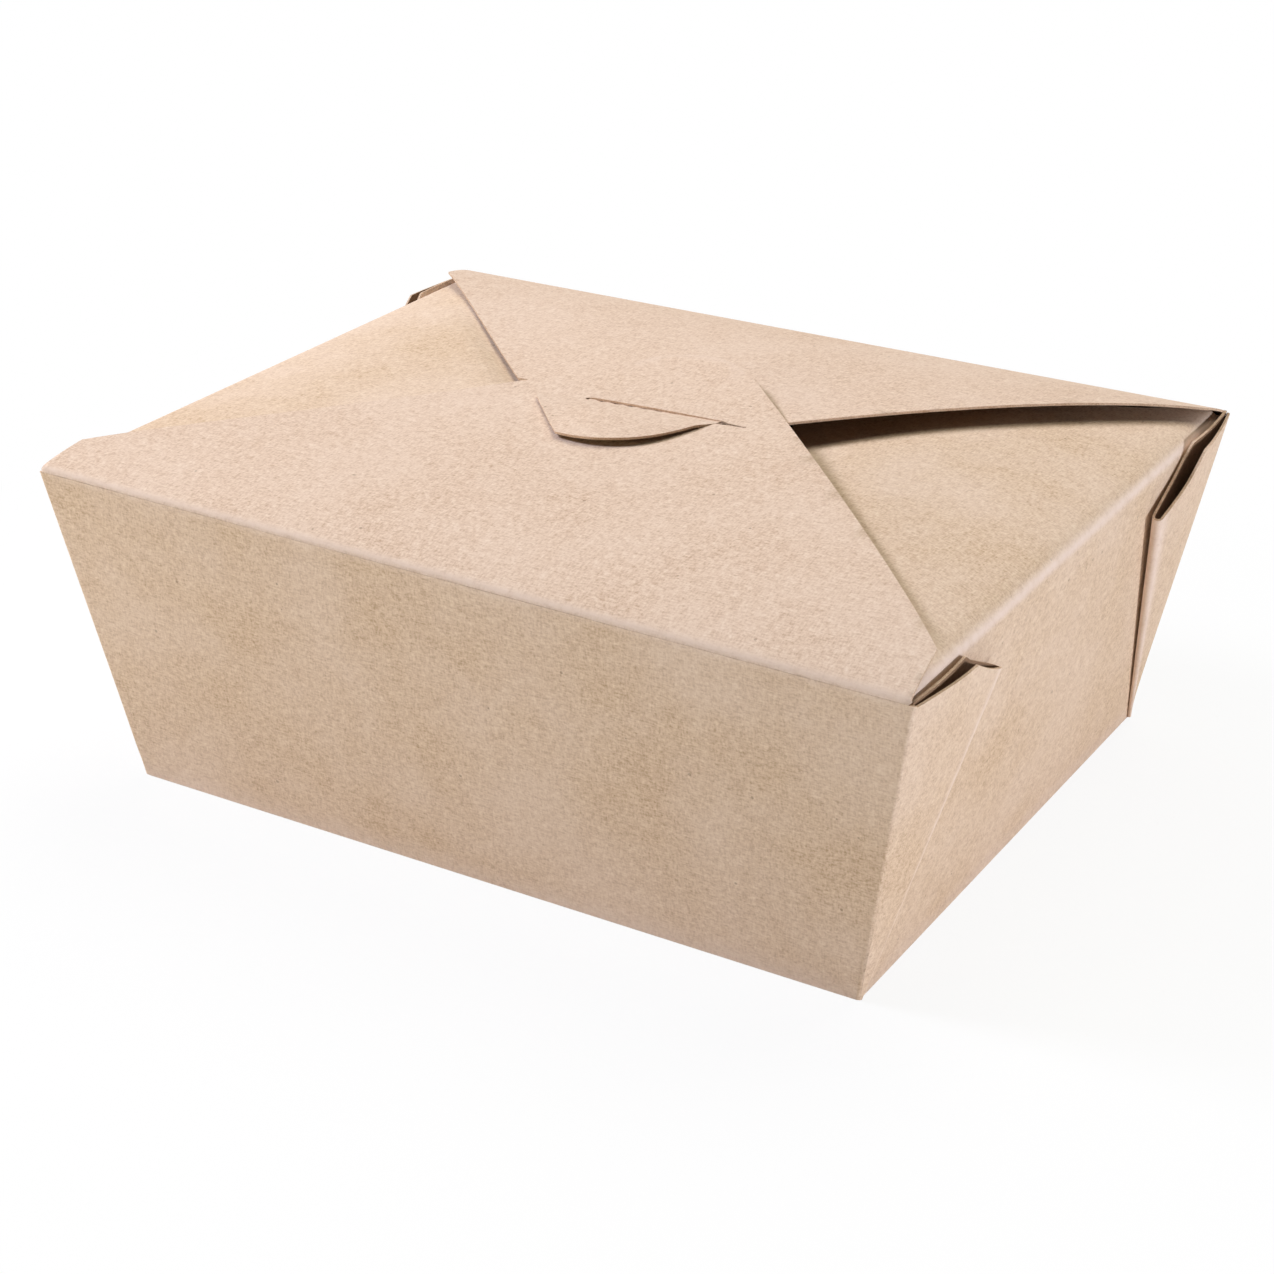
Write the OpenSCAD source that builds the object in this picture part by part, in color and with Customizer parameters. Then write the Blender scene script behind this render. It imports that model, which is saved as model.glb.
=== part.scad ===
// Folding takeaway box of kraft board, closed.
// One cut and creased sheet makes a tapered tray with folded corner webs and four top flaps.
// The back flap ends in a barbed tongue that comes up through a slit in the front flap and locks the lid.
// The end flaps lie under both. The front of the box faces -Y, and the floor is at z = 0.

/* [Tray] */
// Length over the end creases
top_l = 171; // [160:0.5:190]
// Width over the long creases
top_w = 139.5; // [132:0.5:150]
// Length of the base
base_l = 151; // [140:0.5:165]
// Width of the base
base_w = 120; // [110:0.5:130]
// Height of the top creases above the floor
height = 63; // [50:0.5:90]
// Thickness of the board
board_t = 0.45; // [0.4:0.05:0.55]
// Radius of the upright corners
corner_r = 1; // [0.8:0.1:2]

/* [Corner webs] */
// Web edge that stays level with the crease, measured from the corner
web_level = 19.5; // [14:0.5:26]
// Distance of the web's folded tip from the middle of the end wall
web_tip_y = 33; // [30:0.2:38]
// Drop of the folded tip below the crease, along the wall
web_tip_drop = 8.8; // [6:0.2:12]
// How far the folded edge stands off the end wall at its tip
web_proud = 1.9; // [1.5:0.1:3]
// Extra bulge of the outer layer, which opens the pocket
web_bulge = 1.9; // [0.5:0.1:2.5]
// Drop of the web's level edge below the crease
web_top_gap = 1; // [0.9:0.1:1.5]

/* [Lid] */
// Rise of the front flap in the bend beside its crease
front_rise = 4; // [3.5:0.1:5]
// Length over which that bend flattens out
front_reach = 11; // [9:0.5:13]
// Slope at which the front flap goes on rising
front_slope = 0.065; // [0.05:0.005:0.08]
// How far the back flap lies under the front flap in the middle
back_drop = 1.4; // [1.3:0.05:1.6]
// Length over which the back flap's bend flattens out
back_reach = 13.5; // [11:0.5:16]
// Slope at which the back flap goes on rising
back_slope = 0.016; // [0.01:0.002:0.03]
// Rise of the end flaps
end_rise = 5; // [4:0.1:5.4]
// Length over which the end flaps flatten out
end_curl = 21; // [18:0.5:26]
// Straight side of the front and back flaps beside their creases
flap_side = 11.2; // [9:0.2:13]
// Radius of the rolled board at a crease
crease_r = 0.45; // [0.4:0.05:0.5]
// Clearance between a crease and the top of its wall
crease_gap = 0.35; // [0.3:0.05:0.5]

/* [End flaps] */
// How far an end flap's side is set in from the corner at its crease
end_inset = 5.75; // [5:0.25:9]
// How far it is set in where its side turns less steep
end_mid_inset = 23.75; // [22:0.25:30]
// Distance of that turn from the crease
end_mid_reach = 25; // [20:0.5:30]
// How far it is set in at its free edge
end_tip_inset = 42.75; // [41:0.25:50]
// Length of an end flap
end_reach = 64; // [60:0.5:68]
// Radius of its free corners
end_tip_r = 8; // [4:0.5:12]

/* [Lock] */
// Where the slit runs across the lid, from the middle
slit_y = -4.3; // [-6:0.1:-3]
// Width of the slit where the tongue passes
slit_w = 3.3; // [3.2:0.1:3.6]
// Far end of the slit, past the tongue
slit_end = 22.5; // [20:0.5:26]
// Width of the slit's narrow end
slit_end_w = 0.8; // [0.5:0.1:1]
// Clearance between the tongue and the ends of the slit
slit_gap = 0.5; // [0.4:0.1:1]
// Turn of the back flap for each degree that the front flap turns
lift_ratio = 0.68; // [0.66:0.01:0.69]
// Left side of the tongue's neck
neck_left = -11.5; // [-14:0.5:-10]
// Distance from the slit to where the back flap starts to rise into its neck
neck_rise = 3.6; // [3.2:0.1:4]
// Right corner where the back flap narrows to the neck
back_right = 26.3; // [24:0.1:27]
// Left corner where it narrows
back_left = -32.8; // [-34:0.2:-30]
// Distance from the slit to that left corner
back_left_rise = 10.1; // [8:0.1:11]
// Distance from the slit to the barb
barb_drop = 2.2; // [2.2:0.1:3]
// Radius of the barb's shoulder
barb_r = 2.6; // [2:0.1:3.5]
// Sideways place of the shoulder's centre
barb_x = -16.9; // [-18:0.1:-16]
// Angle at which the shoulder runs into the tongue's straight edge
barb_end_a = 225; // [220:1:230]
// Radius of the tongue's round edge
tongue_r = 17; // [15:0.1:18]
// Sideways place of that edge's centre
tongue_x = 0.3; // [-0.5:0.1:1]
// Distance from the slit to that edge's centre
tongue_drop = 1.9; // [1:0.1:3]
// Angle of the tongue's corner on that edge
tongue_tip_a = 115; // [110:1:120]

/* [Front tip] */
// Radius of the front flap's round tip
tip_r = 12.6; // [11:0.2:13]
// Sideways place of the tip's centre
tip_x = -1; // [-3:0.5:1]
// Place of the tip's centre across the lid
tip_y = 9.9; // [8:0.1:11]
// Straight edge that slopes down from the tip on the right
tip_bevel = 9.1; // [8:0.1:11]
// Slope of that edge
tip_bevel_a = 37.8; // [35:0.2:40]
// Angle at which the tip runs into the flap's left side
tip_end_a = 160.4; // [158:0.2:162]

/* [Hidden] */
kraft = [0.78, 0.60, 0.43];
kraft_light = [0.82, 0.65, 0.48];
arc_steps = 10;
corner_steps = 4;
web_steps = 6;
overlap = 0.2;
lid_room = 40;

end_lean = atan((top_l - base_l) / 2 / height);
end_slant = norm([height, (top_l - base_l) / 2]);
web_skew = (top_w - base_w) / 2;

front_crease = [-top_w / 2, 0];
back_crease = [top_w / 2, 0];

// Points of an arc, turning from one angle to the other
function arc(c, r, a0, a1) = [for (i = [0:arc_steps])
    let (a = a0 + (a1 - a0) * i / arc_steps) c + r * [cos(a), sin(a)]];

function turned(p, a) = [p.x * cos(a) - p.y * sin(a), p.x * sin(a) + p.y * cos(a)];
function between(a, b, f) = a + (b - a) * f;
function reversed(list) = [for (i = [len(list) - 1:-1:0]) list[i]];

// Height of a flap over its crease, at a distance from that crease
function bend(s, rise, reach, slope) = rise * (1 - exp(-s / reach)) + slope * s;
function front_dome(s) = bend(s, front_rise, front_reach, front_slope);
back_rise = (front_dome(top_w / 2) - back_drop - back_slope * top_w / 2) / (1 - exp(-top_w / 2 / back_reach));
function back_dome(s) = bend(s, back_rise, back_reach, back_slope);
function end_dome(s) = bend(s, end_rise, end_curl, 0);

// One face of a sheet whose middle runs through the points
function face(points, side) = [for (i = [0:len(points) - 1])
    let (a = points[max(i - 1, 0)], b = points[min(i + 1, len(points) - 1)], d = (b - a) / norm(b - a))
    points[i] + side * board_t / 2 * [-d.y, d.x]];

// Section of a sheet with a rolled crease at its first point
module sheet_section(points) {
    start = points[1] - points[0];
    a = atan2(start.y, start.x);
    neck = asin(board_t / 2 / crease_r);
    upper = face(points, 1);
    lower = face(points, -1);
    last = len(points) - 1;
    polygon(concat([for (i = [1:last]) upper[i]], [for (i = [last:-1:1]) lower[i]],
        arc(points[0], crease_r, a - neck, a - 360 + neck)));
}

// Points round a rectangle with rounded corners
function ring(l, w, z) = [for (quarter = [0:3], i = [0:corner_steps])
    let (a = 90 * (quarter + i / corner_steps),
        x = quarter == 0 || quarter == 3 ? 1 : -1,
        y = quarter < 2 ? 1 : -1)
    [x * (l / 2 - corner_r) + corner_r * cos(a), y * (w / 2 - corner_r) + corner_r * sin(a), z]];

// Upright frustum with rounded corners
module frustum(l0, w0, l1, w1, h) {
    points = concat(ring(l0, w0, 0), ring(l1, w1, h));
    n = len(points) / 2;
    polyhedron(points, concat(
        [[for (i = [0:n - 1]) i], [for (i = [n - 1:-1:0]) n + i]],
        [for (i = [0:n - 1]) [i, n + i, n + (i + 1) % n, (i + 1) % n]]));
}

// Four walls and the floor. The long walls stop below their creases.
module tray_shell() {
    inner_l = base_l - 2 * board_t;
    inner_w = base_w - 2 * board_t;
    seat_drop = crease_r + crease_gap;
    difference() {
        frustum(base_l, base_w, top_l, top_w, height);
        difference() {
            frustum(inner_l, inner_w, top_l - 2 * board_t, top_w - 2 * board_t, height + overlap);
            cube([top_l, top_w, 2 * board_t], center = true);
        }
        for (side = [-1, 1])
            translate([0, side * top_w / 2, height])
                cube([2 * top_l, 2 * end_inset, 2 * seat_drop], center = true);
    }
}

// The level and slanting top edge of a corner web, in the plane of the end wall
function web_edge() = let (
        top = end_slant - web_top_gap,
        corner = [-web_skew, top],
        level = [web_level - web_skew, top],
        tip = [base_w / 2 - web_tip_y, end_slant - web_tip_drop])
    concat([for (i = [0:web_steps - 1]) between(corner, level, i / web_steps)],
        [for (i = [0:web_steps]) between(level, tip, i / web_steps)]);

// Share of the way from the corner to the folded edge
function web_share(p) = let (edge = web_edge(), tip = edge[len(edge) - 1],
        a0 = atan2(edge[0].x, edge[0].y), a1 = atan2(tip.x, tip.y))
    (atan2(p.x, p.y) - a0) / (a1 - a0);

// One layer of a web: a cone of board that opens from the bottom corner
module web_layer(stand_off) {
    edge = web_edge();
    n = len(edge);
    points = concat(
        [[stand_off[0] + board_t, 0, 0]],
        [for (i = [0:n - 1]) [stand_off[i] + board_t, edge[i].x, edge[i].y]],
        [[stand_off[0], 0, 0]],
        [for (i = [0:n - 1]) [stand_off[i], edge[i].x, edge[i].y]]);
    m = n + 1;
    faces = concat(
        [for (i = [1:n - 1]) [0, i, i + 1]],
        [for (i = [1:n - 1]) [m, m + i + 1, m + i]],
        [for (i = [1:n - 1]) [i + 1, i, m + i, m + i + 1]],
        [[m, m + 1, 1, 0], [m + n, m, 0, n]]);
    polyhedron(points, faces, convexity = 4);
}

// Corner web folded flat on the outside of the end wall, with its pocket open at the top
module corner_web() {
    edge = web_edge();
    tip = edge[len(edge) - 1];
    inner = [for (p = edge) (web_proud - board_t) * pow(web_share(p), 2) - overlap / 2];
    outer = [for (p = edge) let (f = web_share(p)) board_t - overlap
        + (web_proud - board_t) * f + web_bulge * sin(180 * f)];
    fold = [web_proud, tip.x, tip.y];
    translate([base_l / 2, -base_w / 2, 0])
        rotate([0, end_lean, 0]) {
            web_layer(inner);
            web_layer(outer);
            rotate([0, acos(fold.z / norm(fold)), atan2(fold.y, fold.x)])
                cylinder(h = norm(fold), r1 = board_t / 2, r2 = board_t, $fn = 16);
        }
}

// Outline of an end flap: distance from the crease, and place along it
function end_outline() = let (side = [
        [-crease_r * 2, top_w / 2 - end_inset],
        [0, top_w / 2 - end_inset],
        [end_mid_reach, top_w / 2 - end_mid_inset],
        [end_reach, top_w / 2 - end_tip_inset]])
    concat(side, [for (p = reversed(side)) [p.x, -p.y]]);

// End flap, which turns in over its wall at the crease
module end_flap() {
    crease_x = top_l / 2 - crease_r;
    points = [for (i = [0:24]) let (s = end_reach * 1.05 * i / 24) [crease_x - s, end_dome(s)]];
    intersection() {
        translate([0, 0, height - crease_r])
            rotate([90, 0, 0])
                linear_extrude(height = top_w, center = true)
                    sheet_section(points);
        translate([crease_x, 0, height - lid_room / 2])
            linear_extrude(height = lid_room)
                mirror([1, 0])
                    offset(r = end_tip_r, $fn = 48)
                        offset(delta = -end_tip_r)
                            polygon(end_outline());
    }
}

module tray() {
    color(kraft)
        intersection() {
            union() {
                tray_shell();
                for (x = [0, 1]) mirror([x, 0, 0]) {
                    end_flap();
                    for (y = [0, 1]) mirror([0, y, 0]) corner_web();
                }
            }
            translate([-top_l, -top_w, 0])
                cube([2 * top_l, 2 * top_w, height + lid_room]);
        }
}

// Path of the slit as the back flap sees it, when the front flap has turned by an angle
slit_point = [slit_y, front_dome(slit_y + top_w / 2)];
function slit_path(a) = back_crease
    + turned(front_crease + turned(slit_point - front_crease, a) - back_crease, lift_ratio * a);

// Middle line of the front flap
function front_line() = [for (i = [0:36]) let (s = (top_w / 2 + 36) * i / 36) [s - top_w / 2, front_dome(s)]];

// Middle line of the back flap. Its tongue follows the slit's path, so it slides out as the lid opens.
function back_line() = let (
        neck_y = slit_y + neck_rise,
        under = back_dome(top_w / 2 - neck_y),
        step = slit_path(1) - slit_point,
        corner = slit_point - step * (slit_point.y - under) / step.y,
        start = [neck_y, under])
    concat([for (i = [0:20]) let (s = (top_w / 2 - neck_y) * i / 21) [top_w / 2 - s, back_dome(s)]],
        [for (i = [0:5]) let (f = i / 6) between(between(start, corner, f), between(corner, slit_point, f), f)],
        [for (a = [0:2:30]) slit_path(a)]);

// Outline of the front flap, seen from above, with its round tip on the left
function front_outline() = let (
        x = top_l / 2,
        y0 = -top_w / 2 - 2 * crease_r,
        y1 = flap_side - top_w / 2,
        tip = [tip_x, tip_y],
        corner = tip + turned([tip_r, -tip_bevel], 90 - tip_bevel_a))
    concat([[-x, y0], [x, y0], [x, y1], corner],
        arc(tip, tip_r, 90 - tip_bevel_a, tip_end_a),
        [[-x, y1]]);

tongue_right = tongue_x + tongue_r;

// Outline of the back flap, seen from above
function back_outline() = let (
        x = top_l / 2,
        y0 = top_w / 2 + 2 * crease_r,
        y1 = top_w / 2 - flap_side,
        left_y = slit_y + back_left_rise,
        right_y = slit_y + neck_rise,
        barb_y = slit_y - barb_drop)
    concat([[x, y0], [-x, y0], [-x, y1], [back_left, left_y], [neck_left, left_y], [neck_left, barb_y]],
        arc([barb_x, barb_y - barb_r], barb_r, 90, barb_end_a),
        arc([tongue_x, slit_y - tongue_drop], tongue_r, -tongue_tip_a, 0),
        [[tongue_right, right_y], [back_right, right_y], [x, y1]]);

// Sheet bent along a line across the box, cut to an outline
module lid_flap(line, outline) {
    intersection() {
        translate([0, 0, height])
            rotate([90, 0, 90])
                linear_extrude(height = 2 * top_l, center = true)
                    sheet_section(line);
        translate([0, 0, height - lid_room / 2])
            linear_extrude(height = lid_room)
                polygon(outline);
    }
}

module front_flap() {
    left = barb_x - barb_r - slit_gap;
    right = tongue_right + slit_gap;
    color(kraft_light)
        difference() {
            lid_flap(front_line(), front_outline());
            translate([left, slit_y - slit_w / 2, height])
                cube([right - left, slit_w, lid_room]);
            translate([left, slit_y - slit_end_w / 2, height])
                cube([slit_end - left, slit_end_w, lid_room]);
        }
}

module back_flap() {
    color(kraft_light)
        lid_flap(back_line(), back_outline());
}

tray();
front_flap();
back_flap();
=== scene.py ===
import math

import bpy
import numpy as np
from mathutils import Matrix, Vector
from mathutils.geometry import delaunay_2d_cdt


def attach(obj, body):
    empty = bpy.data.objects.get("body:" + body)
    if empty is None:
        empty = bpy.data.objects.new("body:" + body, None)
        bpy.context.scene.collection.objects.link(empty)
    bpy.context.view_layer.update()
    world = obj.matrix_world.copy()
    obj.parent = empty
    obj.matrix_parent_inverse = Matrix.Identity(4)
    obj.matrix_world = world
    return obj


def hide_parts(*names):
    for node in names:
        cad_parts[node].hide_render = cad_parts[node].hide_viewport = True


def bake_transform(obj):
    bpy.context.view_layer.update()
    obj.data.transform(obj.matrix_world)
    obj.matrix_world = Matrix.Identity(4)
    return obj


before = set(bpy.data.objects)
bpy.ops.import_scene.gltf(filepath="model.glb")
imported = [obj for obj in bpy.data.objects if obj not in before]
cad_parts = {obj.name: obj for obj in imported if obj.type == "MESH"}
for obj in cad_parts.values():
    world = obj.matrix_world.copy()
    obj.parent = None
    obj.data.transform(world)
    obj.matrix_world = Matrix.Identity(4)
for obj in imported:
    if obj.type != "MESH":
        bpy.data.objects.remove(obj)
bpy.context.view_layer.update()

scene = bpy.context.scene

# Camera at the photograph's angle: place in metres, turn in degrees, lens in millimetres
CAMERA_PLACE = (0.23608, -0.40701, 0.24775)
CAMERA_TURN = (64.506, -0.423, 30.602)
CAMERA_LENS = 77.08
SENSOR = 36.0


def make_camera():
    data = bpy.data.cameras.new("camera")
    data.lens = CAMERA_LENS
    data.sensor_width = SENSOR
    data.clip_start = 0.01
    data.clip_end = 20
    camera = bpy.data.objects.new("camera", data)
    camera.location = CAMERA_PLACE
    camera.rotation_euler = [math.radians(a) for a in CAMERA_TURN]
    scene.collection.objects.link(camera)
    scene.camera = camera


make_camera()
scene.view_settings.view_transform = "Standard"

# Sizes in millimetres, as in the part's source
MM = 0.001
BOARD = 0.45  # thickness of the board
TOP_L = 171.0  # length over the top creases
TOP_W = 139.5
BASE_L = 151.0
BASE_W = 120.0
HEIGHT = 63.0  # height of the top creases
FLAP_SIDE = 10.6  # reach of a lid flap at its two sides
WEB_LEVEL = 19.5  # level stretch of a web's top edge
TIP = (-1.0, 9.9)  # middle of the front flap's round tip
TIP_R = 12.6
TIP_CORNER = (13.9, 14.3)  # end of the flap's straight side, beside the tip
TIP_ANGLES = (52.2, 160.4)  # ends of the tip's arc, in degrees
TIP_WORN_FROM = 84  # distance from the crease beyond which the tip's edge is rubbed too

# Sizes that only the picture shows
SEAM = 0.6  # how far below its crease a lid flap's own mesh starts
ROLL = 1.2  # reach of a lid flap's rounded crease
CREASE_UP = 0.05  # height of the corner that it rounds
FLAP_HALF = 85.3  # half width of a lid flap at its sides, and at its crease
FLAP_CORNER = 86.0
RIM_TWIST = 0.75  # rise of the rim at two corners, and its drop at the others
RIM_FADE = 12.0  # distance over which the twist fades into the lid
BAND_HALF = 0.8  # half width of a crease's pale band, which is rubbed wear and a painted highlight, and the middle of that band on a flap
BAND_MIDDLE = 0.3
FOOT_WORN = 0.5  # how strongly the feet of the walls and the round tip are rubbed pale, and the folds of the webs painted pale with wear and a painted highlight
FOLD_WEAR_AND_HIGHLIGHT = 0.8
TIP_WORN = 0.6
LID_FROM = HEIGHT - 0.2  # height above which a point belongs to the lid

LEAN_L = (TOP_L - BASE_L) / 2 / HEIGHT
LEAN_W = (TOP_W - BASE_W) / 2 / HEIGHT

# Each face's place in its board's list of materials
OUTSIDE, CUT, INSIDE = range(3)


def smooth(t):
    t = max(0.0, min(1.0, t))
    return t * t * (3 - 2 * t)


# Strength of a pale band at a distance from its middle line
def pale_band(distance, width=BAND_HALF):
    return math.exp(-((distance / width) ** 2))


def rim(x, y, s):
    """Twist of the rim, which fades into the lid with the distance from a crease."""
    return RIM_TWIST * x * y / (TOP_L * TOP_W / 4) * math.exp(-s / RIM_FADE)


def bezier(a, b, c, t):
    return [(1 - t) ** 2 * p + 2 * t * (1 - t) * q + t * t * r for p, q, r in zip(a, b, c)]


def between(a, b, t):
    return tuple(p + (q - p) * t for p, q in zip(a, b))


class Board:
    """Sheets of board in millimetres, thickened and gathered into one mesh."""

    def __init__(self):
        self.points = []
        self.faces = []
        self.finish = []
        self.wear_and_highlight = []

    def add(self, points, faces, wear_and_highlight, outer):
        """One sheet. Its normals are on the board's outside if outer is 1, and on its inside if -1."""
        mid = np.array(points, float)
        normals = np.zeros_like(mid)
        for face in faces:
            p = mid[list(face)]
            normals[list(face)] += np.cross(p[2] - p[0], p[-1] - p[1])
        normals /= np.linalg.norm(normals, axis=1)[:, None] + 1e-12
        count = len(mid)
        base = len(self.points)
        self.points += list(mid + normals * BOARD / 2) + list(mid - normals * BOARD / 2)
        self.wear_and_highlight += list(wear_and_highlight) * 2
        edges = {(f[i], f[(i + 1) % len(f)]) for f in faces for i in range(len(f))}
        for face in faces:
            self.faces.append([base + i for i in face])
            self.faces.append([base + count + i for i in reversed(face)])
            self.finish += [OUTSIDE, INSIDE] if outer > 0 else [INSIDE, OUTSIDE]
        for a, b in sorted(edges):
            if (b, a) not in edges:
                self.faces.append([base + b, base + a, base + a + count, base + b + count])
                self.finish.append(CUT)

    def grid(self, rows, wear_and_highlight, outer, mirror=(1, 1)):
        """Sheet through rows of points, all of the same length."""
        wide = len(rows[0])
        faces = [
            (j * wide + i, j * wide + i + 1, (j + 1) * wide + i + 1, (j + 1) * wide + i)
            for j in range(len(rows) - 1)
            for i in range(wide - 1)
        ]
        points = []
        for x, y, z in (p for row in rows for p in row):
            x, y = x * mirror[0], y * mirror[1]
            s = max(0.0, TOP_L / 2 - abs(x)) if z > LID_FROM else 0.0
            points.append((x, y, z + rim(x, y, s) * min(1.0, z / HEIGHT)))
        self.add(points, faces, [r for row in wear_and_highlight for r in row], outer)

    def piece(self, name, materials):
        mesh = bpy.data.meshes.new(name)
        mesh.from_pydata([tuple(p * MM) for p in self.points], [], self.faces)
        mesh.validate()
        for material in materials:
            mesh.materials.append(material)
        mesh.polygons.foreach_set("material_index", self.finish)
        mesh.shade_smooth()
        wear_and_highlight = mesh.attributes.new("wear_and_highlight", "FLOAT", "POINT")
        wear_and_highlight.data.foreach_set("value", np.array(self.wear_and_highlight, np.float32))
        sides = {}
        for polygon in mesh.polygons:
            for key in polygon.edge_keys:
                sides.setdefault(key, set()).add(polygon.material_index)
        for edge in mesh.edges:
            edge.use_edge_sharp = len(sides[edge.key]) > 1
        obj = bpy.data.objects.new(name, mesh)
        scene.collection.objects.link(obj)
        return obj


# Flat outlines, filled with triangles
FILL_STEP = 3.0  # distance between the points inside an outline
FILL_REACH = 100  # more than the half width of any outline
FILL_CLEAR = 0.35  # least distance from an inside point to the outline


def resample(loop, rows):
    """Points along a closed outline, split at the rows and no further apart than a step."""
    out = []
    for a, b in zip(loop, loop[1:] + loop[:1]):
        a, b = np.array(a, float), np.array(b, float)
        marks = [0.0]
        if abs(b[1] - a[1]) > 1e-9:
            marks += sorted(t for t in ((r - a[1]) / (b[1] - a[1]) for r in rows) if 0.001 < t < 0.999)
        marks.append(1.0)
        for t0, t1 in zip(marks, marks[1:]):
            n = max(1, math.ceil(np.linalg.norm(b - a) * (t1 - t0) / FILL_STEP))
            out += [a + (b - a) * (t0 + (t1 - t0) * i / n) for i in range(n)]
    return out


def within(p, loop):
    x, y = p[:, 0], p[:, 1]
    hit = np.zeros(len(p), bool)
    for a, b in zip(loop, np.roll(loop, -1, axis=0)):
        crosses = (a[1] > y) != (b[1] > y)
        with np.errstate(divide="ignore", invalid="ignore"):
            at = a[0] + (y - a[1]) / (b[1] - a[1]) * (b[0] - a[0])
        hit ^= crosses & (x < at)
    return hit


def inside(p, loops):
    """Which points lie within the first loop and in none of the others."""
    hit = within(p, loops[0])
    for hole in loops[1:]:
        hit &= ~within(p, hole)
    return hit


def fill(outline, holes, rows):
    """Triangles that fill an outline, with points in rows across it."""
    loops = [np.array(resample(loop, rows)) for loop in [outline] + holes]
    xs = np.arange(-FILL_REACH, FILL_REACH, FILL_STEP)
    inner = np.array([(x + (FILL_STEP / 2 if k % 2 else 0), row) for k, row in enumerate(rows) for x in xs])
    inner = inner[inside(inner, loops)]
    border = np.concatenate(loops)
    near = np.array([np.min(np.abs(border - p).sum(axis=1)) for p in inner])
    points = np.concatenate([border, inner[near > FILL_CLEAR]])
    edges, start = [], 0
    for loop in loops:
        n = len(loop)
        edges += [(start + i, start + (i + 1) % n) for i in range(n)]
        start += n
    made = delaunay_2d_cdt([Vector(p) for p in points], edges, [], 0, 1e-5)
    flat = np.array([tuple(v) for v in made[0]])
    middles = np.array([flat[list(f)].mean(axis=0) for f in made[2]])
    return flat, [tuple(f) for f, good in zip(made[2], inside(middles, loops)) if good]


# Heights of the lid flaps above their creases: a rise, the reach of that rise, and a slope
FRONT_BEND = (4.0, 11.0, 0.065)
BACK_BEND = (6.0, 13.5, 0.016)
TWIST_FRONT = 0.0007  # rise to the right, which grows with the distance from the crease
TWIST_BACK = 0.00115


def bend_up(s, rise, reach, slope=0.0):
    return rise * (1 - math.exp(-s / reach)) + slope * s


def front_height(x, y):
    s = y + TOP_W / 2
    return bend_up(s, *FRONT_BEND) + TWIST_FRONT * s * x


def back_height(x, y):
    s = TOP_W / 2 - y
    return bend_up(s, *BACK_BEND) + TWIST_BACK * s * x


# Walls: their feet on the floor, and the two long ones
FOOT = 3.0  # strip of the floor that belongs to a wall's sheet
FOOT_END = 0.8  # last row of that strip before it turns up
FOOT_R = 0.25  # radius of the turn
WALL_STEPS = 18
WALL_CROWD = 1.35  # how much the rows of a wall crowd together at its top
WALL_BOW = 0.5  # how far the middle of a long wall stands out
WEB_LOW = -0.2  # a web's distance from the end wall at its foot
CORNER_R = 0.6  # radius of the upright corners, at the top and at the foot
CORNER_R_LOW = 0.2
CORNER_LOW = BASE_L / 2 + WEB_LOW - CORNER_R_LOW  # where that corner starts, at the foot
WALL_END_HIGH = TOP_L / 2 - 1.2  # where a long wall's sheet meets the web's, at the top and at the foot
WALL_END_LOW = CORNER_LOW - 0.2
# Slant of the seam between two walls' feet, from a corner of the floor to a corner of the box
MITRE = (WALL_END_LOW - BASE_L / 2 + FOOT) / (FOOT - FOOT_R)


def wall_profile(base, lean, top_drop):
    """Section of a wall from the floor to near its crease: place across, and height."""
    inset = BOARD / 2 * math.hypot(1, lean)
    rows = [(base - inner, BOARD / 2) for inner in (FOOT, FOOT / 2, FOOT_END)]
    low = (base - FOOT_R - BOARD / 2, BOARD / 2)
    high = (base - inset + lean * FOOT_R, FOOT_R)
    rows += [bezier(low, (base - inset, BOARD / 2), high, i / 6) for i in range(7)]
    for i in range(1, WALL_STEPS + 1):
        z = FOOT_R + (HEIGHT - top_drop - FOOT_R) * (1 - (1 - i / WALL_STEPS) ** WALL_CROWD)
        rows.append((base - inset + lean * z, z))
    return rows


def columns(step, edge):
    """Places across a sheet from -1 to 1, closer together beside its edges."""
    middle = 1 - edge[1]
    n = int(2 * middle / step)
    return [-1.0, edge[0] - 1] + [-middle + 2 * middle * i / n for i in range(n + 1)] + [1 - edge[0], 1.0]


def long_wall(board, side):
    wide = columns(0.05, (0.01, 0.025))
    rows, wear_and_highlight = [], []
    for y, z in wall_profile(BASE_W / 2, LEAN_W, SEAM):
        half = WALL_END_LOW + (WALL_END_HIGH - WALL_END_LOW) * z / (HEIGHT - SEAM)
        half -= MITRE * max(0.0, BASE_W / 2 - FOOT_R - y)
        bow = WALL_BOW * math.sin(math.pi * z / HEIGHT)
        rows.append([(u * half, side * (y + bow * (1 - u * u)), z) for u in wide])
        # Pale bands: wear and a painted highlight at the crease, wear at the foot
        wear_and_highlight.append([max(pale_band(HEIGHT + BAND_MIDDLE - z), FOOT_WORN * pale_band(z))] * len(wide))
    board.grid(rows, wear_and_highlight, -side)


def floor_sheet(board):
    across = np.linspace(FOOT - BASE_L / 2, BASE_L / 2 - FOOT, 31)
    along = np.linspace(FOOT - BASE_W / 2, BASE_W / 2 - FOOT, 25)
    board.grid([[(x, y, BOARD / 2) for x in across] for y in along], np.zeros((25, 31)), -1)


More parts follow.
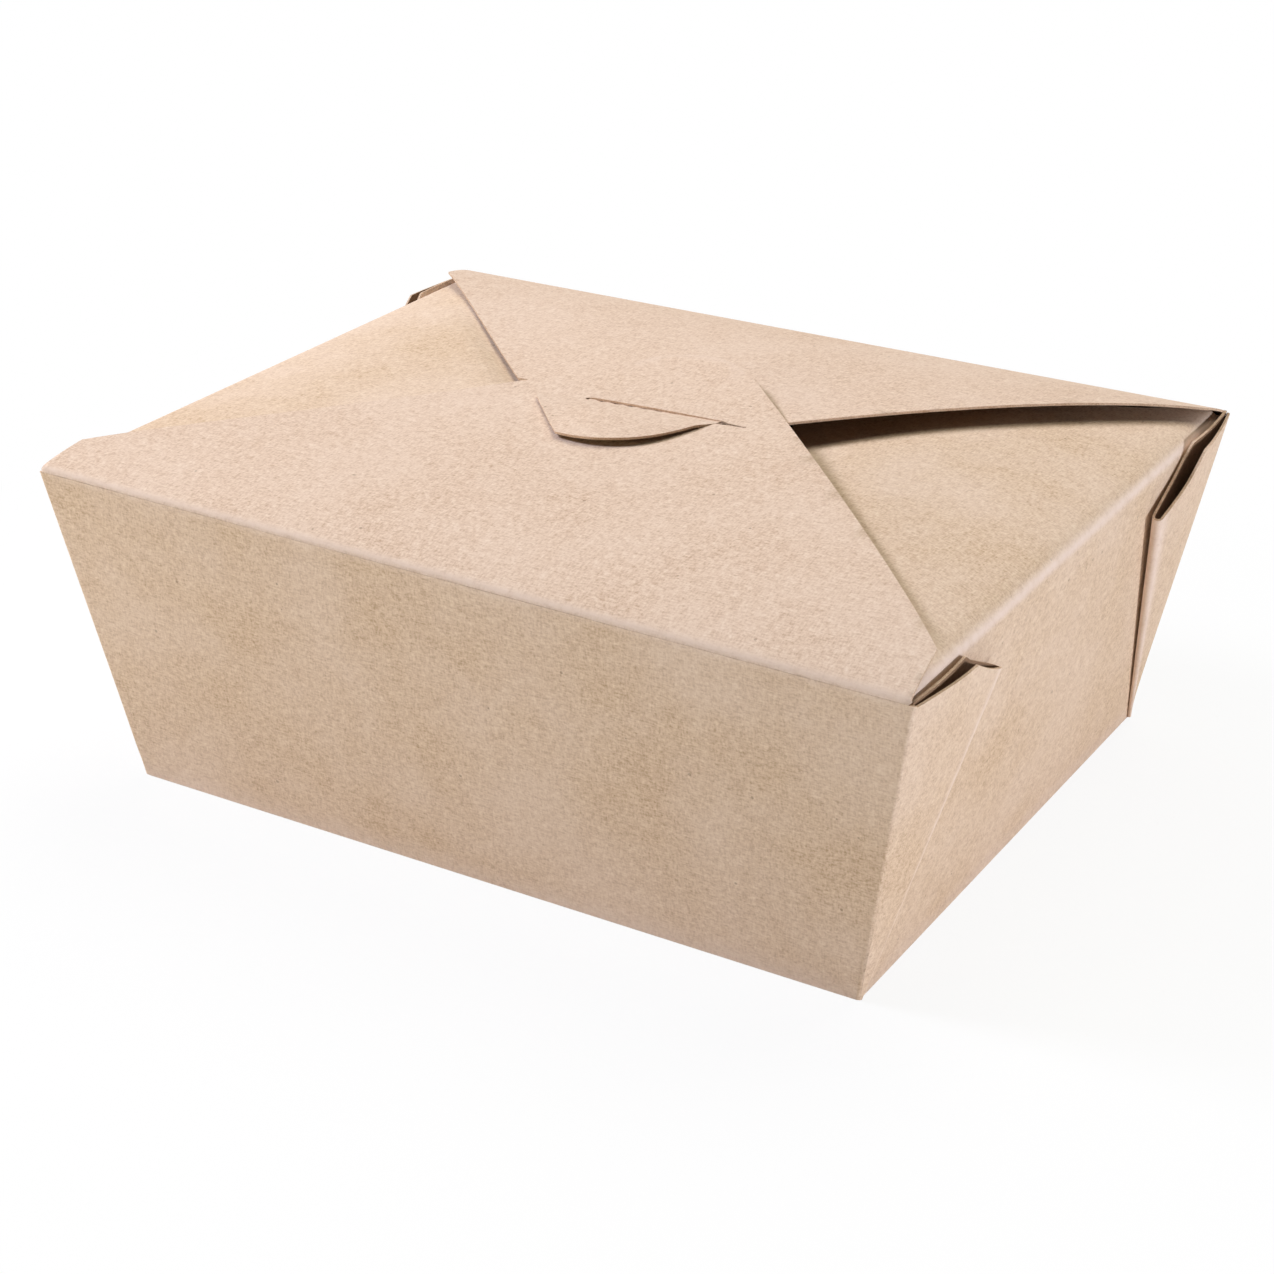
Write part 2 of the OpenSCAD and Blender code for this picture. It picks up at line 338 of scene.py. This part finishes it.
# End walls, with the end flaps that the lid flaps press down
END_ROLL = 1.5  # reach of the rounded crease
ROLL_STEPS = 8
END_LEVEL = HEIGHT - 0.1  # height of the crease
END_REACH = 64.0  # reach of an end flap
END_TIP_R = 8.0  # rounding of its tip
END_GAP = 1.5  # distance from its corner to the long wall's crease, and the slope of its side there
END_GAP_SLOPE = 1.1
END_PLACES = (0, 25, 64)  # distances from the crease, and the flap's half widths there
END_HALVES = (64.0, 46.0, 27.0)
SIDE_IN = 0.5  # gap between an end wall's side and the long wall
RIGHT_CREASE = (1.5, 1.5)  # quick rise of the right flap at its crease, and its reach
RIGHT_SPRING = (4.9, 16.5)  # slow rise of the whole flap
RIGHT_TILT = (0.012, 14.0)  # slope down towards the back, and its reach
RIGHT_DROOP = (0.003, 30.0)  # droop of the tip, from this distance on
LEFT_SPRING = (5.0, 21.0)  # rise of the left flap, and its reach
LEFT_SAG = 0.018  # how much lower it is pressed, for each millimetre from its crease
UNDER_LID = 0.6  # distance below the lid flaps
PRESS_BLEND = 0.6  # height over which one shape goes over into another
LID_FRONT_SLOPE = 1.029  # slant of the front flap's side
LID_BACK_SLOPE = 1.017  # slant of the back flap's side
LID_BACK_START = 27.1  # place of that side at the box's middle line
LID_FREE = 0.3  # how fast the lid's height rises beyond its edge, where nothing presses


def least(a, b):
    """Lesser of two heights, with a soft change from one to the other."""
    return min(a, b) - PRESS_BLEND / 4 * max(0.0, 1 - abs(a - b) / PRESS_BLEND) ** 2


def lid_above(x, y):
    """Height of the lid flaps above an end flap."""
    front_edge = TIP_CORNER[1] - LID_FRONT_SLOPE * (abs(x) - TIP_CORNER[0])
    back_edge = LID_BACK_SLOPE * (abs(x) - LID_BACK_START)
    front = front_height(x, min(y, front_edge)) + LID_FREE * max(0.0, y - front_edge)
    back = back_height(x, max(y, back_edge)) + LID_FREE * max(0.0, back_edge - y)
    return least(front, back)


def end_height(side, s, y):
    """Height of an end flap: its own spring in the middle, and pressed down below the lid flaps."""
    lid = lid_above(side * (TOP_L / 2 - s), y) - UNDER_LID
    if side < 0:
        return least(bend_up(s, *LEFT_SPRING), lid - LEFT_SAG * s)
    tilt, tilt_reach = RIGHT_TILT
    droop, droop_from = RIGHT_DROOP
    free = bend_up(s, *RIGHT_CREASE) + bend_up(s, *RIGHT_SPRING)
    free -= bend_up(s, tilt * y, tilt_reach) + droop * max(0.0, s - droop_from) ** 2
    return least(free, lid)


def end_half(s):
    """Half width of an end flap, at a distance from its crease."""
    half = np.interp(s, END_PLACES, END_HALVES)
    round_from = END_REACH - END_TIP_R
    if s > round_from:
        half -= END_TIP_R - math.sqrt(max(0.0, END_TIP_R ** 2 - (s - round_from) ** 2))
    return max(half, TOP_W / 2 - END_GAP - END_GAP_SLOPE * s)


def end_wall(board, side):
    wide = columns(0.06, (0.008, 0.02))
    rows, wear_and_highlight = [], []
    for x, z in wall_profile(BASE_L / 2, LEAN_L, END_ROLL):
        mitred = BASE_W / 2 - FOOT_R - (WALL_END_LOW - x) / MITRE
        half = min(BASE_W / 2 - SIDE_IN + LEAN_W * z, mitred)
        rows.append([(side * x, u * half, z) for u in wide])
        # Pale bands: wear and a painted highlight below the crease, wear at the foot
        wear_and_highlight.append([max(pale_band(HEIGHT - BAND_MIDDLE - z, 0.7), FOOT_WORN * pale_band(z))] * len(wide))
    start = (x, z)
    corner = (TOP_L / 2 - BOARD / 2, END_LEVEL)

    def rolled(y, t):
        """Point of the rounded crease: place across, and height."""
        stop = (TOP_L / 2 - END_ROLL, END_LEVEL + end_height(side, END_ROLL, y))
        return bezier(start, corner, stop, t)

    for i in range(1, ROLL_STEPS + 1):
        t = i / ROLL_STEPS
        x = rolled(0.0, t)[0]
        if t > 0.5:
            half = end_half(TOP_L / 2 - x)
        rows.append([(side * x, u * half, rolled(u * half, t)[1]) for u in wide])
        # The rounded crease: a pale band of wear and painted highlight
        wear_and_highlight.append([pale_band((i - ROLL_STEPS // 2) * 0.3, 0.75)] * len(wide))
    flap = [END_ROLL + 0.8 * i for i in range(1, 6)] + [6 + 2.5 * i for i in range(1, 20)]
    flap += [END_REACH - d for d in (9.4, 8, 6.5, 5, 3.5, 2.2, 1.2, 0.5, 0.1, 0)]
    for s in flap:
        x, half = TOP_L / 2 - s, end_half(s)
        rows.append([(side * x, u * half, END_LEVEL + end_height(side, s, u * half)) for u in wide])
        wear_and_highlight.append([pale_band(s - 0.1)] * len(wide))
    board.grid(rows, wear_and_highlight, side)


# Corner webs: the long wall goes round the corner, out to a fold on the end wall, and back under itself
END_SIN = LEAN_L / math.hypot(1, LEAN_L)  # lean of an end wall, and its height up the slant
END_COS = 1 / math.hypot(1, LEAN_L)
END_SLANT = HEIGHT * math.hypot(1, LEAN_L)
WEB_SKEW = (TOP_W - BASE_W) / 2  # how far a corner leans out along the end wall
LEVEL_END = WEB_LEVEL - WEB_SKEW
FOLD_AT = (24.4, END_SLANT - 8.5)  # the fold's top: along the end wall from the bottom corner, and up it
FOLD_R = 0.8  # radius of the fold, at its top and at its foot
FOLD_R_LOW = 0.12
WEB_TOP = END_SLANT - 0.9  # level stretch of its top edge
WEB_PROUD = 2.2  # how far the fold's top stands off the end wall
WEB_BULGE = 1.4  # bulge of the outer layer
WEB_SAG = 0.3  # sag of the slanting stretch of its top edge
INNER_START = 0.5  # the inner layer's distance from the end wall at the corner
INNER_BULGE = 0.5
INNER_BULGE_END = 0.62  # share of the way out over which the inner layer bulges
INNER_RISE = 0.5  # how much higher its top edge is near the corner
LIFT_FADE = 8.0  # length over which a raised top edge comes down
FOOT_Z = 0.15  # lowest point of a web, and what it rises for each millimetre that the fold stands off
FOOT_LIFT = 1.2
FOOT_START = 0.2  # place of the foot along the end wall
FOOT_SPREAD = 0.012  # length of the foot, as a share of the top edge
CORNER_Z = 0.2  # height of the rounded corner's foot
# Rows up a web, closer together at its foot and at its top
WEB_STEPS = (0, 0.04, 0.1, 0.2, 0.3, 0.4, 0.5, 0.6, 0.7, 0.8, 0.88, 0.94, 0.98, 1)


def on_end(u, v, w):
    """Point beside the end wall: along it from the bottom corner, up it, and out from it."""
    return (BASE_L / 2 + v * END_SIN + w * END_COS, -BASE_W / 2 + u, v * END_COS - w * END_SIN)


def web_path():
    """Top edge of a web from the corner to its fold: along, up, and share of the way round."""
    start = -WEB_SKEW + CORNER_R + 0.4
    path = [(start + (LEVEL_END - start) * i / 14, WEB_TOP) for i in range(14)]
    path += [between((LEVEL_END, WEB_TOP), FOLD_AT, i / 14) for i in range(15)]
    a0, a1 = math.atan2(start, WEB_TOP), math.atan2(*FOLD_AT)
    return [(u, v, (math.atan2(u, v) - a0) / (a1 - a0)) for u, v in path]


def corner_web(board, mirror, open_by, lift, stand):
    """One web, open by so much at the corner, with its top edge raised and its fold held off the wall."""
    path = web_path()
    proud = WEB_PROUD + stand
    top, bottom, wear_and_highlight = [], [], []

    def add(high, low, pale_tone=0.0):
        top.append(high)
        bottom.append(low)
        wear_and_highlight.append(pale_tone)

    def foot(u, w, f=1.0):
        return on_end(FOOT_START + FOOT_SPREAD * (u - path[0][0]), FOOT_Z + FOOT_LIFT * stand * f, w)

    def raised(u):
        return lift * (1 - smooth((u - LEVEL_END) / LIFT_FADE))

    # The last of the long wall
    x_high = TOP_L / 2 - LEAN_L * SEAM + open_by - CORNER_R
    y_high = -(TOP_W / 2 - BOARD / 2 - LEAN_W * SEAM)
    y_low = -(BASE_W / 2 - BOARD / 2)
    for t in (1.0, 0.5, 0.0):
        high = (x_high + (WALL_END_HIGH - x_high) * t, y_high, HEIGHT - SEAM)
        add(high, (CORNER_LOW + (WALL_END_LOW - CORNER_LOW) * t, y_low, CORNER_Z))
    # The rounded corner
    for i in range(1, 7):
        a = math.radians(90 * i / 7)
        dx, dy = math.sin(a), 1 - math.cos(a)
        high = (x_high + CORNER_R * dx, y_high + CORNER_R * dy, HEIGHT - SEAM + (lift - 0.15) * i / 7)
        add(high, (CORNER_LOW + CORNER_R_LOW * dx, y_low + CORNER_R_LOW * dy, CORNER_Z))
    # Out to the fold
    for u, v, f in path:
        out = open_by + (proud - open_by) * f + WEB_BULGE * math.sin(math.pi * f)
        sag = WEB_SAG * math.sin(math.pi * max(0.0, u - LEVEL_END) / (FOLD_AT[0] - LEVEL_END))
        low = foot(u, WEB_LOW + (2 * FOLD_R_LOW + stand) * f, f)
        # The web grows pale towards its fold: wear and a painted highlight
        add(on_end(u, v - sag + raised(u), out), low, FOLD_WEAR_AND_HIGHLIGHT * pale_band((1 - f) * 12))
    # Round the fold, painted pale with wear and a painted highlight
    long = math.hypot(*FOLD_AT)
    for i in range(1, 10):
        a = math.pi * i / 10
        out = proud - FOLD_R * (1 - math.cos(a))
        across = FOLD_R * math.sin(a) / long
        low = foot(FOLD_AT[0] + FOLD_R_LOW * math.sin(a), WEB_LOW + stand + FOLD_R_LOW * (1 + math.cos(a)))
        add(on_end(FOLD_AT[0] + across * FOLD_AT[1], FOLD_AT[1] - across * FOLD_AT[0], out), low, FOLD_WEAR_AND_HIGHLIGHT)
    # Back under itself
    for u, v, f in reversed(path):
        out = INNER_START + (proud - 2 * FOLD_R - INNER_START) * f ** 3
        out += INNER_BULGE * math.sin(math.pi * min(1.0, f / INNER_BULGE_END))
        rise = INNER_RISE * smooth((LEVEL_END - u) / 4 + 1)
        add(on_end(u, v + rise + raised(u), out), foot(u, WEB_LOW + stand * f, f))
    rows = [[between(low, high, t) for low, high in zip(bottom, top)] for t in WEB_STEPS]
    board.grid(rows, [wear_and_highlight] * len(rows), mirror[0] * mirror[1], mirror)


# Lid flaps. A slit in the front flap locks them, and the back flap's barbed tongue comes up through it
FLAP_REACH = 94  # more than the reach of either flap
SLIT_LEFT = -11.6
SLIT_RIGHT = 22.5
SLIT_WIDE = 1.1  # width that the half widths along the slit are shares of
SLIT_FAR = 1.9  # how much more the slit opens on its far side
SLIT_AT = -4.5  # the slit's place at the middle, and its slant
SLIT_SLANT = -0.033
NECK = (-11.0, 17.2)  # sides of the back flap's neck, in the slit
NECK_RISE = 3.8  # length over which the neck comes up
BARB = 10  # reach of the barb beside the neck
TONGUE_UP = 0.8  # the tongue's height above the front flap
TONGUE_SETTLE = 5  # distance from the slit at which it lies at that height
TONGUE_CURL = 0.9  # how much its tip curls up
TONGUE_LONG = 17  # length of the curl, and its middle and half width along the slit
TONGUE_MIDDLE = 4
TONGUE_HALF = 15


def slit_line(x):
    return SLIT_AT + SLIT_SLANT * x


def tongue_height(x, y):
    """Height of the back flap where it runs up through the slit and out over the front flap."""
    middle = slit_line(x)
    if y > middle:
        t = smooth((middle + NECK_RISE - y) / NECK_RISE)
        return back_height(x, y) + (front_height(x, middle) - back_height(x, middle)) * t * t
    out = middle - y
    curl = TONGUE_CURL * max(0.0, 1 - ((x - TONGUE_MIDDLE) / TONGUE_HALF) ** 2) * smooth(out / TONGUE_LONG)
    return front_height(x, y) + TONGUE_UP * smooth(out / TONGUE_SETTLE) + curl


def flap_point(x, v, side, height):
    """Middle of a lid flap: sideways place, and distance from its crease. Below the crease it is wall."""
    if v >= ROLL:
        y = side * (TOP_W / 2 - v)
        return (x, y, HEIGHT + height(x, y) + rim(x, y, v))
    wall = (TOP_W / 2 - BOARD / 2 - LEAN_W * SEAM, HEIGHT - SEAM)
    corner = (TOP_W / 2 - BOARD / 2, HEIGHT + CREASE_UP)
    y = TOP_W / 2 - ROLL
    across, z = bezier(wall, corner, (y, HEIGHT + height(x, side * y)), (v + SEAM) / (ROLL + SEAM))
    return (x, side * across, z + rim(x, side * across, max(0.0, v)))


def flap_rows(fine):
    """Rows across a lid flap, closer together at its crease and between two distances at its lock."""
    rows = [-SEAM + 0.25 * i for i in range(1, 14)] + [3.2, 4.2, 5.6, 7.6, 10, 12.5]
    v = 15.5
    while v < FLAP_REACH:
        rows.append(v)
        v += 1.0 if fine[0] < v < fine[1] else 3.5
    return rows


def side_points():
    """Crease end of a flap's outline, from its left corner to its right."""
    left = [(-FLAP_HALF, FLAP_SIDE), (-FLAP_CORNER, 0.2), (0.3 - FLAP_CORNER, -SEAM)]
    return left + [(-x, v) for x, v in left[::-1]]


def arc(c, r, a0, a1, n=24):
    turns = [math.radians(a0 + (a1 - a0) * i / n) for i in range(n + 1)]
    return [(c[0] + r * math.cos(a), c[1] + r * math.sin(a)) for a in turns]


def spline(points, n=8):
    """Smooth curve through points."""
    out = []
    for i in range(len(points) - 1):
        near = [max(0, min(len(points) - 1, i + k)) for k in (-1, 0, 1, 2)]
        a, b, c, d = [np.array(points[k]) for k in near]
        for j in range(n):
            t = j / n
            curve = (2 * a - 5 * b + 4 * c - d) * t * t + (3 * b - a - 3 * c + d) * t ** 3
            out.append(tuple(0.5 * (2 * b + (c - a) * t + curve)))
    return out + [points[-1]]


def slit_hole():
    """The slit: two rows of points beside its middle line, as places along it and half widths."""
    places = [(SLIT_LEFT, 0.15), (SLIT_LEFT + 1.2, 0.42), (-5, 0.5), (3, 0.55)]
    places += [(12, 0.5), (17.4, 0.45), (18.6, 0.22), (SLIT_RIGHT, 0.12)]
    near = [(x, slit_line(x) - w * SLIT_WIDE + TOP_W / 2) for x, w in places]
    far = [(x, slit_line(x) + SLIT_FAR * w * SLIT_WIDE + TOP_W / 2) for x, w in places]
    return near + far[::-1]


def make_front_flap(materials):
    tip = [(x, y + TOP_W / 2) for x, y in [TIP_CORNER] + arc(TIP, TIP_R, *TIP_ANGLES)]
    flat, faces = fill(side_points() + tip, [slit_hole()], flap_rows((58, 72)))
    middle = (TIP[0], TOP_W / 2 + TIP[1])
    wear_and_highlight = []
    for x, v in flat:
        to_edge = TIP_R - math.dist((x, v), middle)
        worn_tip = TIP_WORN * pale_band(to_edge, 0.5) if v > TIP_WORN_FROM else 0.0
        # Pale band at the crease, wear and a painted highlight; the round tip's edge rubbed pale
        wear_and_highlight.append(max(pale_band(v - BAND_MIDDLE), worn_tip))
    board = Board()
    board.add([flap_point(x, v, -1, front_height) for x, v in flat], faces, wear_and_highlight, 1)
    return board.piece("front_flap_board", materials)


def make_back_flap(materials):
    shoulder = [(-19.6, -8.4), (-20.5, -7.0), (-20.6, -5.6), (-19.6, -4.7), (-17.8, -4.6), (NECK[0], -4.9)]
    tip = spline([
        (-7.1, -22.0), (-3.3, -22.7), (0.7, -22.5), (4.0, -21.5), (7.1, -19.8),
        (9.8, -17.3), (11.9, -14.2), (13.8, -10.6), (15.4, -7.4), (16.6, -5.2),
    ])
    lock = [(26.4, -0.7), (NECK[1] + 0.8, -0.9), (NECK[1], -1.9)] + tip[::-1] + shoulder
    lock += [(NECK[0], 5.0), (NECK[0] - 0.8, 5.8), (-32.9, 5.8)]
    outline = side_points() + [(x, TOP_W / 2 - y) for x, y in lock]
    flat, faces = fill(outline, [], flap_rows((62, 94)))

    def height(x, y):
        on_tongue = y < 2 and NECK[0] - BARB < x < NECK[1] + 0.01
        return tongue_height(x, y) if on_tongue else back_height(x, y)

    board = Board()
    # Pale band at the crease: wear and a painted highlight
    wear_and_highlight = [pale_band(v - BAND_MIDDLE) for _, v in flat]
    board.add([flap_point(x, v, 1, height) for x, v in flat], faces, wear_and_highlight, -1)
    return board.piece("back_flap_board", materials)


# Materials
class Nodes:
    """Short forms for a material's nodes."""

    def __init__(self, name):
        self.material = bpy.data.materials.new(name)
        self.material.use_nodes = True
        self.tree = self.material.node_tree
        self.shader = self.tree.nodes["Principled BSDF"]

    def node(self, kind, **settings):
        made = self.tree.nodes.new(kind)
        for key, value in settings.items():
            setattr(made, key, value)
        return made

    def link(self, a, b):
        self.tree.links.new(a, b)

    def feed(self, socket, value):
        """A number or a colour is set on the socket, and another node's output is linked to it."""
        if isinstance(value, (int, float, tuple)):
            socket.default_value = value
        else:
            self.link(value, socket)

    def noise(self, place, stretch, scale, detail, rough=0.55):
        mapping = self.node("ShaderNodeMapping")
        mapping.inputs["Scale"].default_value = stretch
        self.link(place, mapping.inputs["Vector"])
        made = self.node("ShaderNodeTexNoise")
        made.inputs["Scale"].default_value = scale
        made.inputs["Detail"].default_value = detail
        made.inputs["Roughness"].default_value = rough
        self.link(mapping.outputs["Vector"], made.inputs["Vector"])
        return made.outputs["Fac"]

    def math(self, operation, a, b):
        made = self.node("ShaderNodeMath", operation=operation)
        self.feed(made.inputs[0], a)
        self.feed(made.inputs[1], b)
        return made.outputs[0]

    def total(self, parts):
        """Sum of noises, each about its middle and times its share."""
        out = 0.5
        for part, share in parts:
            out = self.math("ADD", self.math("MULTIPLY", self.math("SUBTRACT", part, 0.5), share), out)
        return out

    def mix(self, share, a, b):
        made = self.node("ShaderNodeMix", data_type="RGBA")
        self.feed(made.inputs[0], share)
        self.feed(made.inputs[6], a)
        self.feed(made.inputs[7], b)
        return made.outputs[2]

    def ramp(self, value, stops):
        made = self.node("ShaderNodeValToRGB")
        while len(made.color_ramp.elements) < len(stops):
            made.color_ramp.elements.new(0.5)
        for element, (place, colour) in zip(made.color_ramp.elements, stops):
            element.position = place
            element.color = colour
        self.link(value, made.inputs["Fac"])
        return made.outputs["Color"]

    def map_range(self, value, low, high, to_low=0.0, to_high=1.0):
        made = self.node("ShaderNodeMapRange")
        for name, number in zip(("From Min", "From Max", "To Min", "To Max"), (low, high, to_low, to_high)):
            made.inputs[name].default_value = number
        self.link(value, made.inputs["Value"])
        return made.outputs["Result"]

    def bump(self, height, strength, distance):
        made = self.node("ShaderNodeBump")
        made.inputs["Strength"].default_value = strength
        made.inputs["Distance"].default_value = distance
        self.link(height, made.inputs["Height"])
        self.link(made.outputs["Normal"], self.shader.inputs["Normal"])


def rgb(*levels):
    """Linear colour from levels of 0 to 255 as seen on a screen."""
    return tuple(((v / 255 + 0.055) / 1.055) ** 2.4 for v in levels) + (1.0,)


def kraft(name, dark, middle, light, pale_tone):
    """Kraft board: a fine grain of fibres, a faint mottle, specks, and pale creases of rubbed wear with a
    painted highlight.
    """
    n = Nodes(name)
    place = n.node("ShaderNodeTexCoord").outputs["Object"]
    # Noise from the finest to the broadest: fibres, a mottle of about 2 mm and clouds of about 25 mm
    grain = n.noise(place, (1, 1, 1), 2200, 4, 0.65)
    along = n.noise(place, (0.2, 1, 1), 3400, 3)
    across = n.noise(place, (1, 0.22, 0.3), 3000, 3)
    mottle = n.noise(place, (1, 1, 1), 640, 3)
    cloud = n.noise(place, (1, 1, 1), 42, 3)
    tone = n.total([(grain, 0.85), (along, 0.75), (across, 0.6), (mottle, 0.32), (cloud, 0.14)])
    colour = n.ramp(tone, [(0.15, dark), (0.5, middle), (0.85, light)])
    # Slow drift towards the paler brown of the crease bands
    drift = n.math("MULTIPLY", n.map_range(cloud, 0.35, 0.65), 0.22)
    colour = n.mix(drift, colour, pale_tone)
    # Dark specks in a few cells of a 4 mm pattern
    cells = n.node("ShaderNodeTexVoronoi", feature="F1")
    cells.inputs["Scale"].default_value = 260
    cells.inputs["Randomness"].default_value = 1
    n.link(place, cells.inputs["Vector"])
    pick = n.node("ShaderNodeSeparateColor")
    n.link(cells.outputs["Color"], pick.inputs[0])
    chosen = n.math("GREATER_THAN", pick.outputs[0], 0.86)
    dot = n.math("LESS_THAN", cells.outputs["Distance"], 0.075)
    speck = n.math("MULTIPLY", n.math("MULTIPLY", chosen, dot), 0.4)
    colour = n.mix(speck, colour, rgb(112, 78, 52))
    # Pale bands: rubbed wear at the feet and the tip, wear and a painted highlight along the creases and
    # folds
    wear_and_highlight = n.node("ShaderNodeAttribute", attribute_name="wear_and_highlight").outputs["Fac"]
    patchy = n.math("MULTIPLY", wear_and_highlight, n.math("ADD", n.math("MULTIPLY", mottle, 0.8), 0.45))
    colour = n.mix(n.math("MINIMUM", patchy, 0.95), colour, pale_tone)
    n.link(colour, n.shader.inputs["Base Color"])
    n.link(n.math("ADD", n.math("MULTIPLY", grain, 0.22), 0.66), n.shader.inputs["Roughness"])
    n.shader.inputs["Specular IOR Level"].default_value = 0.15
    n.bump(n.total([(grain, 0.6), (along, 0.8), (mottle, 0.5)]), 0.35, 0.00012)
    return n.material


def cut_edge(name, dark, light):
    """Cut edge of the board: pale plies with darker fibre ends."""
    n = Nodes(name)
    place = n.node("ShaderNodeTexCoord").outputs["Object"]
    plies = n.noise(place, (1, 1, 1), 3800, 2)
    along = n.noise(place, (1, 1, 1), 420, 2)
    tone = n.total([(plies, 0.9), (along, 0.6)])
    n.link(n.ramp(tone, [(0.2, dark), (0.8, light)]), n.shader.inputs["Base Color"])
    n.shader.inputs["Roughness"].default_value = 0.9
    n.shader.inputs["Specular IOR Level"].default_value = 0.2
    n.bump(plies, 0.4, 0.0001)
    return n.material


# Inside of the board: a darker brown, partly its own tone and partly painted shade for the pockets, gaps
# and flap undersides
inner_kraft_and_shade = kraft(
    "kraft_inner_and_shade",
    dark=rgb(112, 84, 60),
    middle=rgb(148, 117, 91),
    light=rgb(174, 144, 117),
    pale_tone=rgb(174, 144, 120),
)
tray_kraft = kraft(
    "kraft_tray",
    dark=rgb(186, 154, 122),
    middle=rgb(221, 194, 166),
    light=rgb(240, 219, 194),
    pale_tone=rgb(243, 223, 211),
)
lid_kraft = kraft(
    "kraft_lid",
    dark=rgb(188, 156, 130),
    middle=rgb(223, 197, 174),
    light=rgb(241, 221, 201),
    pale_tone=rgb(231, 209, 191),
)
edge_kraft = cut_edge("kraft_edge", rgb(176, 142, 112), rgb(232, 208, 184))

# Webs by their end and side: open at the corner by, top edge raised by, fold held off the wall by
WEBS = {
    (1, -1): (1.2, 0.0, 0.0),
    (1, 1): (1.2, 1.3, 0.55),
    (-1, -1): (1.2, 0.0, 0.0),
    (-1, 1): (1.6, 1.0, 0.3),
}

# Pieces
tray = Board()
for side in (-1, 1):
    long_wall(tray, side)
    end_wall(tray, side)
    for end in (-1, 1):
        corner_web(tray, (end, -side), *WEBS[end, side])
floor_sheet(tray)
tray_board = tray.piece("tray_board", [tray_kraft, edge_kraft, inner_kraft_and_shade])
front_board = make_front_flap([lid_kraft, edge_kraft, inner_kraft_and_shade])
back_board = make_back_flap([lid_kraft, edge_kraft, inner_kraft_and_shade])

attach(tray_board, "tray")
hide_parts("tray")

# Each lid flap's board is baked in place, and its CAD part hidden
CREASE_TOP = 0.9
for piece, flap, side in ((front_board, "front_flap", -1), (back_board, "back_flap", 1)):
    end = (0, side * (TOP_W / 2 - ROLL) * MM, (HEIGHT + CREASE_TOP) * MM)
    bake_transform(piece)
    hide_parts(flap)

# Each CAD node keeps a kraft finish too
for name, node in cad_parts.items():
    node.data.materials.clear()
    node.data.materials.append(tray_kraft if name == "tray" else lid_kraft)

# Studio lamps: place and size in metres, power in watts, tint
LAMPS = {
    "overhead": ((0.1, 0.7, 1.5), 1.4, 17.6, (1, 0.975, 0.86)),
    "key": ((-1.0, -0.4, 1.0), 0.45, 18.4, (0.82, 0.84, 1)),
    "right": ((1.3, 0.0, 0.035), 0.07, 8.2, (0.925, 0.93, 1)),
    "left": ((-0.55, -0.7, 0.17), 0.3, 1.7, (1, 0.91, 0.6)),
}
WORLD_LIGHT = 0.015  # strength of the even light from all round
FLOOR_FADE = (0.11, 0.2)  # distances in metres between which the floor turns fully white
FLOOR_GLOW = (0.9, 1.0)  # share of plain white in the floor's look at those distances


def area_light(name, place, size, power, colour):
    data = bpy.data.lights.new(name, "AREA")
    data.shape = "DISK"
    data.size = size
    data.energy = power
    data.color = colour
    light = bpy.data.objects.new(name, data)
    light.location = place
    light.rotation_euler = (-Vector(place)).to_track_quat("-Z", "Y").to_euler()
    scene.collection.objects.link(light)


def white_world():
    """Soft studio light. The camera, reflections and clear things see a white background."""
    world = bpy.data.worlds.new("studio")
    scene.world = world
    world.use_nodes = True
    tree = world.node_tree
    background = tree.nodes["Background"]
    background.inputs["Color"].default_value = (1, 1, 1, 1)
    path = tree.nodes.new("ShaderNodeLightPath")
    seen = path.outputs["Is Camera Ray"]
    for other in ("Is Glossy Ray", "Is Transmission Ray"):
        either = tree.nodes.new("ShaderNodeMath")
        either.operation = "MAXIMUM"
        tree.links.new(seen, either.inputs[0])
        tree.links.new(path.outputs[other], either.inputs[1])
        seen = either.outputs[0]
    strength = tree.nodes.new("ShaderNodeMapRange")
    strength.inputs["To Min"].default_value = WORLD_LIGHT
    strength.inputs["To Max"].default_value = 1.0
    tree.links.new(seen, strength.inputs["Value"])
    tree.links.new(strength.outputs["Result"], background.inputs["Strength"])


def white_floor():
    """Floor that reads as white, yet keeps a soft shadow round the box."""
    bpy.ops.mesh.primitive_plane_add(size=8, location=(0, 0, 0))
    floor = bpy.context.object
    floor.name = "floor"
    n = Nodes("studio_floor")
    n.shader.inputs["Base Color"].default_value = (0.9, 0.9, 0.9, 1)
    n.shader.inputs["Roughness"].default_value = 0.9
    glow = n.node("ShaderNodeEmission")
    glow.inputs["Strength"].default_value = 1.0
    path = n.node("ShaderNodeLightPath")
    far = n.node("ShaderNodeVectorMath", operation="LENGTH")
    n.link(n.node("ShaderNodeTexCoord").outputs["Object"], far.inputs[0])
    fade = n.map_range(far.outputs["Value"], *FLOOR_FADE, *FLOOR_GLOW)
    share = n.math("MULTIPLY", path.outputs["Is Camera Ray"], fade)
    mixed = n.node("ShaderNodeMixShader")
    n.link(share, mixed.inputs[0])
    n.link(n.shader.outputs[0], mixed.inputs[1])
    n.link(glow.outputs[0], mixed.inputs[2])
    n.link(mixed.outputs[0], n.tree.nodes["Material Output"].inputs["Surface"])
    floor.data.materials.append(n.material)


for name, lamp in LAMPS.items():
    area_light(name, *lamp)
white_world()
white_floor()
